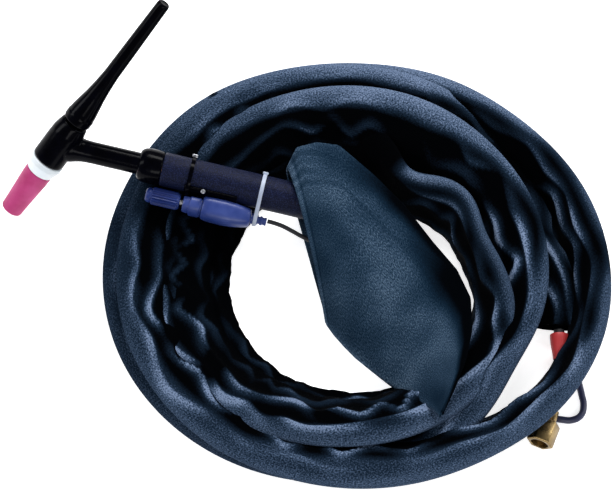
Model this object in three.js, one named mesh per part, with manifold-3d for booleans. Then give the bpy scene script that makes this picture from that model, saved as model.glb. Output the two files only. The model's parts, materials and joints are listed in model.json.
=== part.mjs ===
// TIG welding torch with a fingertip amperage control, lying on its own coiled, cloth-covered lead.
// Millimetres, +Z up. The origin is on the table, below the middle of the torch itself.
import * as THREE from 'three';
import { mergeVertices } from 'three/addons/utils/BufferGeometryUtils.js';
import Module from 'manifold-3d';

const wasm = await Module();
wasm.setup();

// Driving dimensions.
const GAP = 0.3;                                // clearance between neighbouring pieces
const SIDES = 20;                               // facets round a turned piece
const SLIVER = 0.02;                            // edges shorter than this are closed up
const TORCH_X = new THREE.Vector3(0.974, -0.208, -0.09);    // handle axis, towards the rear
const CAP_DIRECTION = new THREE.Vector3(0.5546, 0.4555, 0.6961);

const head = { front: -18.2, back: 28.5, radius: 15.8, shoulder: 13.6, bore: 8.6 };
const neck = { radius: 10.2, rear: 97, bore: 4.4 };
const insert = { front: -26, back: 22, radius: 8.3, bore: 5.5 };
const neckTube = { radius: 4.1, bore: 2.6, front: 8.8, rear: 112 };
const insulator = { front: -33.1, radius: 16.3, frontRadius: 13.3, bore: 8.6 };
const cup = { back: -33.4, tip: -83.6, radius: 13.2, tipRadius: 10.2, bore: 7.6, mouth: 8 };
const colletBody = { front: -50, flange: 8.3, thread: 7.2, bore: 3.5 };
const collet = { front: -49, back: 14, radius: 3.2, bore: 1.55 };
const tungsten = { tip: -74, back: 95, radius: 1.2 };
const seal = { height: 29.75, radius: 7.4, section: 0.95 };
const backCap = { base: 31, waist: 89, tip: 180, radius: 13.4, waistRadius: 7.3, tipRadius: 6.1 };
const handle = { front: 76, collarRear: 98, rear: 266, radius: 15.8, bore: 13.3 };
const control = { roll: -34, offset: 26.3 };    // degrees round the handle, distance between axes
const roller = { front: 88.6, rear: 121, radius: 8, ribs: 18 };
const nose = { front: 124, rear: 141.7, radius: 10.4 };
const controlCase = { front: 142, rear: 188, wall: 18.3, cavity: 6.9 };
const saddle = { front: 122, rear: 172, inner: 16.1, outer: 18, span: 50 };
const gland = { front: 188.3, rear: 203, radius: 4.9, neck: 3.7 };
const strap = { width: 3.6, thickness: 1.2, front: 125.4, rear: 192.4 };
const frontLoop = [handle.radius + GAP, handle.radius + 0.6, 3.4];
const rearLoop = [handle.radius + GAP, gland.radius + GAP, control.offset];
const cable = { radius: 2 };
const coil = { x: 171, y: -120, outer: 234, inner: 112, height: 46, round: 15, flatten: 0.915 };
const mouth = { thick: 43, thin: 19, level: 44, tipLevel: 24, slopeY: -70, tipY: -264, bevel: 9, edge: 0.3 };
const tailRoom = { radius: 17, height: 80, x: 358, y: -196, z: 40 };
const hose = { radius: 5 };
const lead = { radius: 3.2 };
const nut = { back: 14.5, front: 37, across: 22, bore: 5.6, socket: 8.3 };
const plug = { radius: 7.6, length: 32 };

// Cord routes, in millimetres in the object's own frame.
const controlCableRoute = [
  [88.6, -73.6, 38.9], [95, -75.2, 38.2], [103, -78, 37.2], [112, -82.6, 36], [122, -88, 34.6],
  [133, -92.8, 33.2], [146, -97, 32],
];
const hoseRoute = [
  [356.5, -176, 21], [356.8, -186, 20], [357, -196, 18.6], [356.8, -206, 17.2], [356, -217, 15.8],
  [354.6, -228, 14.8], [352.6, -240, 14.2], [349.6, -251, 14],
];
const leadRoute = [
  [369, -177, 12], [370, -186, 8.6], [371, -197, 5.4], [372.6, -209, 4], [374.6, -221, 3.6],
  [377, -233, 3.6], [378.4, -244, 3.6], [375.6, -253.4, 3.6], [367.6, -258, 3.6],
  [357, -257.4, 3.6], [346, -255.6, 3.6], [336, -257.6, 4.2], [327, -261.6, 7], [320, -265, 8.6],
];

// Outline of the cover's flared mouth in plan, round the lead from the handle to the coil.
const mouthOutline = [
  [112, -8], [124, 0], [150, 0], [172, -18], [196, -42], [218, -66], [240, -94], [262, -122],
  [274, -150], [273, -184], [262, -220], [250, -250], [243, -262], [232, -257], [206, -234],
  [180, -211], [156, -188], [139, -160], [132, -126], [124, -92], [117, -58], [108, -30],
];

const black = { color: 0x101014, roughness: 0.32, metalness: 0 };
const darkGrip = { color: 0x1b1f2c, roughness: 0.6, metalness: 0 };
const blue = { color: 0x39488a, roughness: 0.4, metalness: 0 };
const white = { color: 0xe8eef2, roughness: 0.45, metalness: 0 };
const pink = { color: 0xc8649a, roughness: 0.55, metalness: 0 };
const brass = { color: 0xb8964f, roughness: 0.35, metalness: 1 };
const copper = { color: 0xb87357, roughness: 0.35, metalness: 1 };
const steel = { color: 0x9a9da3, roughness: 0.35, metalness: 1 };
const rubber = { color: 0x17181c, roughness: 0.7, metalness: 0 };
const navyRubber = { color: 0x1c2340, roughness: 0.6, metalness: 0 };
const red = { color: 0xb02a2a, roughness: 0.5, metalness: 0 };
const cloth = { color: 0x2c3d5a, roughness: 0.95, metalness: 0 };

// A named piece with its own material.
function piece(name, geometry, finish) {
  const mesh = new THREE.Mesh(geometry, new THREE.MeshStandardMaterial(finish));
  mesh.name = name;
  return mesh;
}

// Closed geometry to a solid that can be joined and cut; triangles without area are dropped.
function toSolid(geometry) {
  const bare = geometry.clone();
  bare.deleteAttribute('normal');
  bare.deleteAttribute('uv');
  const merged = mergeVertices(bare, 1e-4);
  const faces = [];
  for (let i = 0; i < merged.index.count; i += 3) {
    const [a, b, c] = [0, 1, 2].map((k) => merged.index.getX(i + k));
    if (a !== b && b !== c && a !== c) faces.push(a, b, c);
  }
  return new wasm.Manifold(new wasm.Mesh({
    numProp: 3,
    vertProperties: merged.attributes.position.array,
    triVerts: new Uint32Array(faces),
  }));
}

// The solid's surface as geometry.
function toGeometry(solid) {
  const mesh = solid.getMesh();
  const geometry = new THREE.BufferGeometry();
  geometry.setAttribute('position', new THREE.BufferAttribute(mesh.vertProperties, 3));
  geometry.setIndex(new THREE.BufferAttribute(mesh.triVerts, 1));
  return geometry;
}

// Cuts every tool out of a body and keeps the main piece, without the slivers that this leaves.
function cut(body, ...tools) {
  const left = tools.reduce((rest, tool) => rest.subtract(toSolid(tool)), toSolid(body));
  const pieces = left.simplify(SLIVER).decompose();
  return toGeometry(pieces.sort((a, b) => b.volume() - a.volume())[0]);
}

// The tools joined, so that a body is cut by all of them at once.
function joined(...tools) {
  return toGeometry(tools.map(toSolid).reduce((all, tool) => all.add(tool)).simplify(SLIVER));
}

// A turned piece round Z: radius and height pairs, listed from inside bottom to outside top.
function turned(profile, sides = SIDES) {
  const points = profile.map(([r, z]) => new THREE.Vector2(r, z));
  if (profile[0][0] > 0) points.push(points[0].clone());
  return new THREE.LatheGeometry(points, sides).rotateX(Math.PI / 2);
}

// The same, round the handle's axis X.
function turnedX(profile, sides = SIDES) {
  return turned(profile, sides).rotateY(Math.PI / 2);
}

// A plain rod along X.
function rodX(from, to, radius, sides = SIDES) {
  return turnedX([[0, from], [radius, from], [radius, to], [0, to]], sides);
}

function box(x, y, z, cx, cy, cz) {
  return new THREE.BoxGeometry(x, y, z).translate(cx, cy, cz);
}

// A tube along a route of points.
function tube(route, radius, halfSides, steps) {
  const curve = new THREE.CatmullRomCurve3(route.map((p) => new THREE.Vector3(...p)));
  const section = new THREE.Shape().absarc(0, 0, radius, 0, Math.PI * 2);
  return new THREE.ExtrudeGeometry(section, {
    steps, curveSegments: halfSides, bevelEnabled: false, extrudePath: curve,
  });
}

// A flat outline in the YZ plane, extruded along X from one station to another.
function extrudedX(shape, from, to, curveSegments = 10) {
  return new THREE.ExtrudeGeometry(shape, { depth: to - from, bevelEnabled: false, curveSegments })
    .rotateX(Math.PI / 2).rotateZ(Math.PI / 2).translate(from, 0, 0);
}

// Moulded head body with its neck, bored for the insert and for the neck tube.
function torchHead(headAxis) {
  const body = turned([
    [0, head.front], [head.radius - 0.6, head.front], [head.radius, head.front + 1.5],
    [head.radius, 8], [head.radius - 0.5, 18], [head.shoulder, 25.5], [head.shoulder - 1, head.back],
    [0, head.back],
  ], 24);
  const stem = turnedX([
    [0, 2], [neck.radius + 3.4, 2], [neck.radius + 3.2, 14], [neck.radius + 1, 19],
    [neck.radius, 25], [neck.radius, neck.rear], [0, neck.rear],
  ], 24);
  const bore = turned([[0, -30], [head.bore, -30], [head.bore, 40], [0, 40]]);
  const moulding = joined(placed(body, headAxis), stem);
  return cut(moulding, placed(bore, headAxis), rodX(0, neck.rear + 5, neck.bore));
}

function headInsert() {
  return turned([
    [insert.bore, insert.front], [insert.radius, insert.front], [insert.radius, insert.back],
    [insert.bore, insert.back],
  ]);
}

function cupInsulator() {
  const back = head.front - GAP;
  return turned([
    [insulator.bore, insulator.front], [insulator.frontRadius, insulator.front],
    [insulator.frontRadius + 0.5, insulator.front + 1.6], [insulator.radius - 0.5, back - 7],
    [insulator.radius, back - 5.6], [insulator.radius, back - 0.8], [insulator.radius - 0.6, back],
    [insulator.bore, back],
  ], 24);
}

// Alumina cup: threaded bore at the back, tapered body, rounded lip.
function gasCup() {
  return turned([
    [cup.mouth, cup.tip], [cup.tipRadius - 1, cup.tip], [cup.tipRadius, cup.tip + 1.4],
    [cup.tipRadius + 0.5, cup.tip + 9], [cup.radius - 1.3, cup.back - 22],
    [cup.radius, cup.back - 8], [cup.radius, cup.back], [cup.bore, cup.back],
    [cup.bore, cup.back - 19], [cup.mouth + 0.6, cup.back - 21],
  ], 24);
}

function colletBodyPiece() {
  const back = insert.front - GAP;
  return turned([
    [colletBody.bore, colletBody.front], [5, colletBody.front], [colletBody.thread, -44],
    [colletBody.thread, insulator.front], [colletBody.flange, insulator.front + 0.2],
    [colletBody.flange, back], [insert.bore - GAP, back + 0.01], [insert.bore - GAP, -8],
    [colletBody.bore, -8],
  ]);
}

function colletPiece() {
  return turned([
    [collet.bore, collet.front], [collet.radius - 1, collet.front],
    [collet.radius, collet.front + 2], [collet.radius, collet.back], [collet.bore, collet.back],
  ], 20);
}

function electrode() {
  return turned([
    [0, tungsten.tip], [0.3, tungsten.tip], [tungsten.radius, tungsten.tip + 5],
    [tungsten.radius, tungsten.back], [0, tungsten.back],
  ], 16);
}

function capSeal() {
  const profile = [];
  for (let i = 0; i < 8; i += 1) {
    const angle = (i + 0.5) * Math.PI / 4;
    profile.push([
      seal.radius + seal.section * Math.cos(angle), seal.height + seal.section * Math.sin(angle),
    ]);
  }
  return turned(profile);
}

// Threaded brass ferrule moulded into the cap's base; it runs inside the head insert.
function capFerrule() {
  const top = backCap.base - GAP;
  return turned([
    [3.7, 16], [insert.bore - GAP, 16], [insert.bore - GAP, top], [3.7, top],
  ], 20);
}

// Long back cap, hollow for the electrode.
function backCapPiece() {
  const bore = 3.7;
  return turned([
    [bore, backCap.base], [backCap.radius - 0.8, backCap.base], [backCap.radius, backCap.base + 1.2],
    [backCap.radius, backCap.base + 8], [backCap.radius - 2.2, backCap.base + 22],
    [backCap.waistRadius + 0.9, backCap.waist - 14], [backCap.waistRadius, backCap.waist],
    [backCap.tipRadius, backCap.tip - 1.2], [backCap.tipRadius - 1, backCap.tip], [0, backCap.tip],
    [0, backCap.tip - 6], [bore - 0.6, backCap.tip - 8], [bore, backCap.tip - 12],
    [bore, backCap.base],
  ], 24);
}

// Smooth bulged collar that closes the front of the handle round the neck.
function handleCollar() {
  const inner = neck.radius + GAP;
  return turnedX([
    [inner, handle.front], [12, handle.front], [14.6, handle.front + 2],
    [handle.radius + 0.2, handle.front + 6], [handle.radius + 0.5, handle.front + 12],
    [handle.radius, handle.collarRear - 2], [handle.radius - 0.6, handle.collarRear],
    [inner, handle.collarRear],
  ], 24);
}

function handleTube() {
  const front = handle.collarRear + GAP;
  const step = neckTube.rear - 2;
  return turnedX([
    [neck.radius + GAP, front], [handle.radius - 0.6, front], [handle.radius, front + 1.6],
    [handle.radius, handle.rear - 1], [handle.radius - 0.8, handle.rear],
    [handle.bore, handle.rear], [handle.bore, step + 3], [neck.radius + GAP, step],
  ], 24);
}

function neckTubePiece() {
  return turnedX([
    [neckTube.bore, neckTube.front], [neckTube.radius, neckTube.front],
    [neckTube.radius, neckTube.rear], [neckTube.bore, neckTube.rear],
  ], 20);
}

// Brass coupling in the handle, from the neck tube to the power cable.
function powerFitting() {
  const front = neckTube.rear + GAP;
  return turnedX([
    [2.6, front], [6, front], [6, front + 6], [8.5, front + 6.5], [8.5, front + 15], [6, front + 15.5],
    [6, front + 21], [2.6, front + 21],
  ], 20);
}

function powerCableFront() {
  return rodX(neckTube.rear + 22, handle.rear - 3, 6.5, 16);
}

// Ribbed roller with rounded ends, bored for its shaft.
function rollerPiece() {
  const shape = new THREE.Shape();
  for (let i = 0; i < roller.ribs * 2; i += 1) {
    const angle = i * Math.PI / roller.ribs;
    const radius = roller.radius - 1.6 - (i % 2) * 0.8;
    const point = [radius * Math.cos(angle), radius * Math.sin(angle)];
    if (i === 0) shape.moveTo(...point);
    else shape.lineTo(...point);
  }
  const bevel = 1.6;
  const solid = new THREE.ExtrudeGeometry(shape, {
    depth: roller.rear - roller.front - 2 * bevel - 4,
    bevelEnabled: true, bevelThickness: bevel, bevelSize: bevel, bevelSegments: 2,
  }).rotateY(Math.PI / 2).translate(roller.front + bevel + 4, 0, 0);
  const crown = turnedX([
    [0, roller.front], [4.6, roller.front], [6.4, roller.front + 1.4], [7, roller.front + 4.6],
    [0, roller.front + 4.6],
  ], 20);
  return cut(joined(solid, crown), rodX(roller.front + 8, roller.rear + 5, 3 + GAP, 16))
    .translate(0, 0, -control.offset);
}

function rollerShaft() {
  return rodX(roller.front + 8.4, 153, 3, 16).translate(0, 0, -control.offset);
}

// Fixed collar between the roller and the case.
function noseCollar() {
  const inner = 3 + GAP;
  const body = turnedX([
    [inner, nose.front], [7.8, nose.front], [8.6, nose.front + 1], [9, nose.front + 5],
    [nose.radius, nose.front + 6.5], [nose.radius, nose.rear - 0.6], [nose.radius - 0.6, nose.rear],
    [inner, nose.rear],
  ]).translate(0, 0, -control.offset);
  const strapRoom = frontLoop[1] + frontLoop[2] + strap.thickness + GAP;
  return cut(body, rodX(nose.front - 5, nose.rear + 5, strapRoom, 48));
}

// Half of the boat-shaped control case; side -1 faces away from the saddle's far edge.
function caseHalf(side) {
  const { front, rear } = controlCase;
  const outside = turnedX([
    [0, front], [nose.radius - 0.4, front], [nose.radius + 0.6, front + 1], [12.2, front + 9],
    [12.4, front + 20], [11.6, front + 31], [9.4, rear - 6], [7.8, rear - 0.8], [7.2, rear], [0, rear],
  ], 28).translate(0, 0, -control.offset);
  const hollow = turnedX([
    [0, front - 1], [3 + GAP, front - 1], [3 + GAP, front + 2.4], [controlCase.cavity, front + 2.6],
    [controlCase.cavity, rear - 12], [2.6, rear - 8], [2.6, rear + 1], [0, rear + 1],
  ], 20).translate(0, 0, -control.offset);
  const keep = box(80, 30, 60, 165, side * (15 + GAP / 2), -control.offset);
  const half = toSolid(outside).intersect(toSolid(keep));
  const screwHole = new THREE.CylinderGeometry(2.5, 2.5, 10, 16)
    .translate(front + 27, -14, -control.offset - 1);
  const seat = rodX(front - 10, rear + 10, controlCase.wall, 48);
  return cut(toGeometry(half), hollow, seat, ...(side < 0 ? [screwHole] : []));
}

function caseScrew() {
  return new THREE.CylinderGeometry(2.1, 1.9, 2.2, 16)
    .translate(controlCase.front + 27, -10.7, -control.offset - 1);
}

function potentiometer() {
  const inner = 3 + GAP;
  const front = controlCase.front + 3.2;
  return turnedX([
    [inner, front], [6.4, front], [6.4, front + 13], [inner, front + 13],
  ], 20).translate(0, 0, -control.offset);
}

// Curved saddle that seats the control on the handle.
function saddlePiece() {
  const span = THREE.MathUtils.degToRad(saddle.span);
  const down = -Math.PI / 2;
  const shape = new THREE.Shape();
  shape.absarc(0, 0, saddle.outer, down - span, down + span, false);
  shape.absarc(0, 0, saddle.inner, down + span, down - span, true);
  return extrudedX(shape, saddle.front, saddle.rear, 9);
}

function saddleScrew() {
  return new THREE.CylinderGeometry(2.3, 2.1, 2.2, 16)
    .translate(nose.rear - 1.6, -15.6, -13.6);
}

// Ribbed strain relief at the rear of the case.
function glandPiece() {
  const profile = [[2.3, gland.front], [gland.radius, gland.front]];
  const pitch = (gland.rear - gland.front) / 3.5;
  for (let i = 0; i < 3; i += 1) {
    const x = gland.front + i * pitch;
    profile.push([gland.radius, x + pitch * 0.5], [gland.neck, x + pitch * 0.65]);
    profile.push([gland.neck, x + pitch * 0.9], [gland.radius - 0.3 * (i + 1), x + pitch]);
  }
  profile.push([gland.neck - 0.5, gland.rear], [2.3, gland.rear]);
  return turnedX(profile, 14).translate(0, 0, -control.offset);
}

// Outline round the handle and a second round thing below it, at a distance.
function loopShape(big, small, distance) {
  const tangent = Math.acos((big - small) / distance);
  const start = tangent - Math.PI / 2;
  const shape = new THREE.Path();
  shape.absarc(0, 0, big, start, Math.PI - start, false);
  shape.absarc(0, -distance, small, Math.PI - start, 2 * Math.PI + start, false);
  shape.closePath();
  return shape;
}

function strapPiece(big, small, distance, x) {
  const outer = loopShape(big + strap.thickness, small + strap.thickness, distance);
  const shape = new THREE.Shape(outer.getPoints(9));
  shape.holes.push(new THREE.Path(loopShape(big, small, distance).getPoints(9)));
  return extrudedX(shape, x - strap.width / 2, x + strap.width / 2);
}

// Square lock head of a strap, on the strap's outside at an angle round the handle.
function strapLock(x, angle) {
  const height = 4.4;
  const foot = handle.radius + GAP + strap.thickness + GAP;
  return box(6, 5.6, height, x, 0, foot + height / 2).rotateX(THREE.MathUtils.degToRad(angle));
}

// Flared cloth mouth of the cover: a crowned plate that thins towards the coil.
function mouthBody(grow) {
  const centre = mouthOutline.reduce((sum, [x, y]) => [sum[0] + x, sum[1] + y], [0, 0])
    .map((value) => value / mouthOutline.length);
  const points = mouthOutline.map(([x, y]) => {
    const away = new THREE.Vector2(x - centre[0], y - centre[1]);
    return away.setLength(away.length() + grow - mouth.bevel).add(new THREE.Vector2(...centre));
  });
  const body = new THREE.ExtrudeGeometry(new THREE.Shape(points), {
    depth: 1 - 2 * mouth.edge, bevelEnabled: true, bevelThickness: mouth.edge,
    bevelSize: mouth.bevel, bevelSegments: 3,
  }).translate(0, 0, mouth.edge - 0.5);
  const place = body.attributes.position;
  for (let i = 0; i < place.count; i += 1) {
    const share = THREE.MathUtils.clamp(
      (place.getY(i) - mouth.slopeY) / (mouth.tipY - mouth.slopeY), 0, 1,
    );
    const thick = THREE.MathUtils.lerp(mouth.thick, mouth.thin, share) + 2 * grow;
    const level = THREE.MathUtils.lerp(mouth.level, mouth.tipLevel, share);
    place.setZ(i, level + place.getZ(i) * thick);
  }
  return body;
}

// Outer shape of the coiled cover, with a flat underside.
function coilBody() {
  const { outer, inner, height, round } = coil;
  return turned([
    [inner + round, 0], [outer - round, 0], [outer - 4, 6], [outer, height * 0.45],
    [outer - 5, height - 8], [outer - round, height], [inner + round, height],
    [inner + 4, height - 8], [inner, height * 0.45], [inner + 4, 6],
  ], 40).scale(1, coil.flatten, 1).translate(coil.x, coil.y, 0);
}

// Room in the coil where the cover ends and the hose and lead come out of it.
function tailWindow() {
  const { radius, height, x, y, z } = tailRoom;
  return new THREE.CylinderGeometry(radius, radius, height, 16).rotateX(Math.PI / 2).translate(x, y, z);
}

function hexNut() {
  const shape = new THREE.Shape();
  for (let i = 0; i < 6; i += 1) {
    const angle = (i + 0.5) * Math.PI / 3;
    const radius = nut.across / Math.sqrt(3) - 1;
    if (i === 0) shape.moveTo(radius * Math.cos(angle), radius * Math.sin(angle));
    else shape.lineTo(radius * Math.cos(angle), radius * Math.sin(angle));
  }
  const body = new THREE.ExtrudeGeometry(shape, {
    depth: nut.front - nut.back - 2, bevelEnabled: true, bevelThickness: 1, bevelSize: 1,
    bevelSegments: 1,
  }).translate(0, 0, nut.back + 1);
  const hollow = turned([
    [0, nut.back - 1], [nut.bore, nut.back - 1], [nut.bore, nut.back + 3],
    [nut.socket, nut.back + 3.2], [nut.socket, nut.front + 1], [0, nut.front + 1],
  ]);
  return cut(body, hollow);
}

// Hose tail that the nut turns on, with a coned seat inside the nut.
function hoseNipple() {
  return turned([
    [2.6, nut.back - 1.5], [5.2, nut.back - 1.5], [5.2, nut.back + 3.6], [7.6, nut.back + 3.6],
    [7.6, nut.back + 6], [4.6, nut.back + 12], [2.6, nut.back + 12],
  ], 20);
}

function hoseFerrule() {
  return turned([
    [hose.radius + GAP, 2], [6.8, 2], [7.2, 3], [7.2, nut.back - 3], [6.6, nut.back - 2],
    [hose.radius + GAP, nut.back - 2],
  ], 20);
}

// Red tapered sleeve on the hose where it leaves the cover.
function redSleeve() {
  return turned([
    [hose.radius + GAP, 0], [8.4, 0], [8.8, 1.6], [8.4, 9], [7, 18], [6.4, 24],
    [hose.radius + GAP, 24],
  ], 20);
}

function plugPieces() {
  const r = plug.radius;
  const shell = turned([
    [0, 0], [4.6, 0], [5.4, 5], [r, 9], [r, plug.length - 10], [r - 1, plug.length - 9],
    [0, plug.length - 9],
  ], 20);
  const ring = turned([
    [5.4, plug.length - 8.7], [r, plug.length - 8.7], [r, plug.length - 1], [r - 0.6, plug.length],
    [5.4, plug.length],
  ], 20);
  return [piece('control_plug', shell, black), piece('control_plug_ring', ring, steel)];
}

// A group whose Z axis runs from one point towards another.
function aimed(from, to) {
  const group = new THREE.Group();
  const direction = new THREE.Vector3(...to).sub(new THREE.Vector3(...from)).normalize();
  group.position.set(...from);
  group.quaternion.setFromUnitVectors(new THREE.Vector3(0, 0, 1), direction);
  return group;
}

// Geometry moved from a group's frame into the object's frame.
function placed(geometry, ...groups) {
  const result = geometry.clone();
  groups.forEach((group) => {
    group.updateMatrix();
    result.applyMatrix4(group.matrix);
  });
  return result;
}

// Everything on the axis of the cup and the back cap.
function buildHeadAxis() {
  const axis = new THREE.Group();
  const lean = TORCH_X.clone().normalize().dot(CAP_DIRECTION.clone().normalize());
  axis.rotation.y = Math.PI / 2 - Math.acos(lean);
  axis.add(piece('head_insert', headInsert(), brass));
  axis.add(piece('cup_insulator', cupInsulator(), white));
  axis.add(piece('cup', gasCup(), pink));
  axis.add(piece('collet_body', colletBodyPiece(), copper));
  axis.add(piece('collet', colletPiece(), copper));
  axis.add(piece('tungsten', electrode(), steel));
  axis.add(piece('cap_seal', capSeal(), rubber));
  axis.add(piece('cap_ferrule', capFerrule(), brass));
  axis.add(piece('back_cap', backCapPiece(), black));
  return axis;
}

// The fingertip control, below the handle and turned round it.
function buildControl() {
  const group = new THREE.Group();
  group.rotation.x = THREE.MathUtils.degToRad(control.roll);
  group.add(piece('roller', rollerPiece(), blue));
  group.add(piece('roller_shaft', rollerShaft(), steel));
  group.add(piece('nose_collar', noseCollar(), blue));
  group.add(piece('control_case_near', caseHalf(-1), blue));
  group.add(piece('control_case_far', caseHalf(1), blue));
  group.add(piece('case_screw', caseScrew(), steel));
  group.add(piece('potentiometer', potentiometer(), rubber));
  group.add(piece('control_saddle', saddlePiece(), black));
  group.add(piece('saddle_screw', saddleScrew(), steel));
  group.add(piece('control_gland', glandPiece(), blue));
  group.add(piece('front_strap', strapPiece(...frontLoop, strap.front), steel));
  group.add(piece('front_strap_lock', strapLock(strap.front, 8), steel));
  group.add(piece('rear_strap', strapPiece(...rearLoop, strap.rear), white));
  group.add(piece('rear_strap_lock', strapLock(strap.rear, 12), white));
  return group;
}

function buildTorch() {
  const torch = new THREE.Group();
  const x = TORCH_X.clone().normalize();
  const z = CAP_DIRECTION.clone().addScaledVector(x, -CAP_DIRECTION.dot(x)).normalize();
  const y = z.clone().cross(x);
  torch.quaternion.setFromRotationMatrix(new THREE.Matrix4().makeBasis(x, y, z));
  const headAxis = buildHeadAxis();
  const headBore = placed(turned([[0, -40], [head.bore, -40], [head.bore, 50], [0, 50]]), headAxis);
  torch.add(headAxis, piece('torch_head', torchHead(headAxis), black));
  torch.add(piece('neck_tube', cut(neckTubePiece(), headBore), copper));
  torch.add(piece('handle_collar', handleCollar(), black));
  torch.add(piece('handle_tube', handleTube(), darkGrip));
  torch.add(piece('power_fitting', powerFitting(), brass));
  torch.add(piece('power_cable_front', powerCableFront(), rubber));
  torch.add(buildControl());
  return torch;
}

// Stands the torch on its cup's lip, with the middle of its box over the origin.
function seatTorch(torch) {
  const bounds = new THREE.Box3().setFromObject(torch, true);
  const middle = bounds.getCenter(new THREE.Vector3());
  torch.position.set(-middle.x, -middle.y, -bounds.min.z);
  return torch;
}

// The hose end, the lead's plug and the sleeve on the hose.
function buildTail() {
  const group = new THREE.Group();
  const [hoseX, hoseY, hoseZ] = hoseRoute[hoseRoute.length - 1];
  const hoseEnd = aimed([hoseX, hoseY, hoseZ], [hoseX - 16.4, hoseY - 44, hoseZ - 1]);
  hoseEnd.add(piece('hose_ferrule', hoseFerrule(), brass));
  hoseEnd.add(piece('hose_nipple', hoseNipple(), brass));
  hoseEnd.add(piece('hose_nut', hexNut(), brass));
  const boot = aimed([356.65, -180, 20.65], [357, -204, 17.6]);
  boot.add(piece('red_sleeve', redSleeve(), red));
  const [leadX, leadY, leadZ] = leadRoute[leadRoute.length - 1];
  const plugEnd = aimed([leadX - 0.6, leadY - 0.3, leadZ], [leadX - 33, leadY - 12, leadZ]);
  plugEnd.add(...plugPieces());
  group.add(hoseEnd, boot, plugEnd);
  return group;
}

// The coil is cut clear of the torch, the mouth and everything that comes out at the tail.
function buildCover(torch) {
  const torchRoom = placed(rodX(-40, handle.rear + 6, 21, 20), torch);
  const controlRoom = placed(
    rodX(roller.front - 6, gland.rear + 60, 16, 20).translate(0, 0, -control.offset),
    torch.children.find((child) => child.rotation.x !== 0), torch,
  );
  const [hoseX, hoseY, hoseZ] = hoseRoute[hoseRoute.length - 1];
  const nutRoute = [
    [hoseX, hoseY, hoseZ], [hoseX - 9, hoseY - 24, hoseZ], [hoseX - 20, hoseY - 54, hoseZ],
  ];
  const [leadX, leadY] = leadRoute[leadRoute.length - 1];
  const plugLevel = 8;
  const plugRoute = [
    [leadX + 3, leadY + 1, plugLevel], [leadX - 17, leadY - 6, plugLevel],
    [leadX - 38, leadY - 14, plugLevel],
  ];
  const tailSide = joined(
    tailWindow(), tube(hoseRoute, 10, 5, 16), tube(nutRoute, 15, 6, 4),
    tube(leadRoute, lead.radius + 1, 4, 28), tube(plugRoute, plug.radius + 2.4, 5, 4),
  );
  const torchSide = joined(torchRoom, controlRoom, mouthBody(0.6));
  const ring = cut(coilBody(), torchSide, tailSide);
  const sleeve = cut(
    mouthBody(0), placed(rodX(120, handle.rear + 3, handle.radius + 0.6, 24), torch),
    tube(controlCableRoute, cable.radius + 0.8, 4, 12),
  );
  return [piece('cover_coil', ring, cloth), piece('cover_mouth', sleeve, cloth)];
}

const object = new THREE.Group();
const torch = seatTorch(buildTorch());
object.add(torch, buildTail(), ...buildCover(torch));
object.add(piece('control_cable', tube(controlCableRoute, cable.radius, 4, 12), rubber));
object.add(piece('hose_tail', tube(hoseRoute, hose.radius, 5, 14), rubber));
object.add(piece('control_lead', tube(leadRoute, lead.radius, 4, 22), navyRubber));

export default object;
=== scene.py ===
import json
import math

import bmesh
import bpy
from mathutils import Matrix, Vector, noise


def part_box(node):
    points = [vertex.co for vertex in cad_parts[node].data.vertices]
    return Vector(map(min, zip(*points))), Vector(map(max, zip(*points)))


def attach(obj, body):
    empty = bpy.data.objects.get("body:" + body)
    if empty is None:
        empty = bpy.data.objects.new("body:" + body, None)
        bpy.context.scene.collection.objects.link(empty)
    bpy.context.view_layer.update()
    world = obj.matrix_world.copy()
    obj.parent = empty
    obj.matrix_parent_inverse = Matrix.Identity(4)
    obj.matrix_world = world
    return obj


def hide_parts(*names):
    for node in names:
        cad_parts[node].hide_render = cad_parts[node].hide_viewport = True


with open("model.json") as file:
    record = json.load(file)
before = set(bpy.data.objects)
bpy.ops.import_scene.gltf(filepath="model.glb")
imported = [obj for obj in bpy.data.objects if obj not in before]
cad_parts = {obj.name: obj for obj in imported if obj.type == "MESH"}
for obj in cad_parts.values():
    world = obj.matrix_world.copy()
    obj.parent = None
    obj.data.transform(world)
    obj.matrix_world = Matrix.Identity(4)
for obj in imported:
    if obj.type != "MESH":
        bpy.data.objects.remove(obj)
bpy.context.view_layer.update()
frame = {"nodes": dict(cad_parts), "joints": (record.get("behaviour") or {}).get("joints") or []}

mm = 0.001


# joints give the places and axes that the new pieces are built on
joints = {joint["name"]: joint for joint in frame["joints"]}


def basis(origin, xAxis, zAxis):
    # local frame with the given Z, and X as close as it can be to the one asked for
    z = zAxis.normalized()
    x = (xAxis - z * xAxis.dot(z)).normalized()
    y = z.cross(x)
    place = Matrix((x, y, z)).transposed().to_4x4()
    place.translation = origin
    return place


headCentre = Vector(joints["cup_screw"]["pos_m"])
capAxis = Vector(joints["cap_screw"]["axis"]).normalized()
handleAxis = Vector(joints["roller_turn"]["axis"]).normalized()
aside = Vector(joints["roller_turn"]["pos_m"]) - headCentre
aside = aside - handleAxis * aside.dot(handleAxis)     # from the handle's axis to the control's

headFrame = basis(headCentre, handleAxis, capAxis)
handleFrame = basis(headCentre, -aside, handleAxis)
controlFrame = basis(headCentre + aside, -aside, handleAxis)


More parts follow.
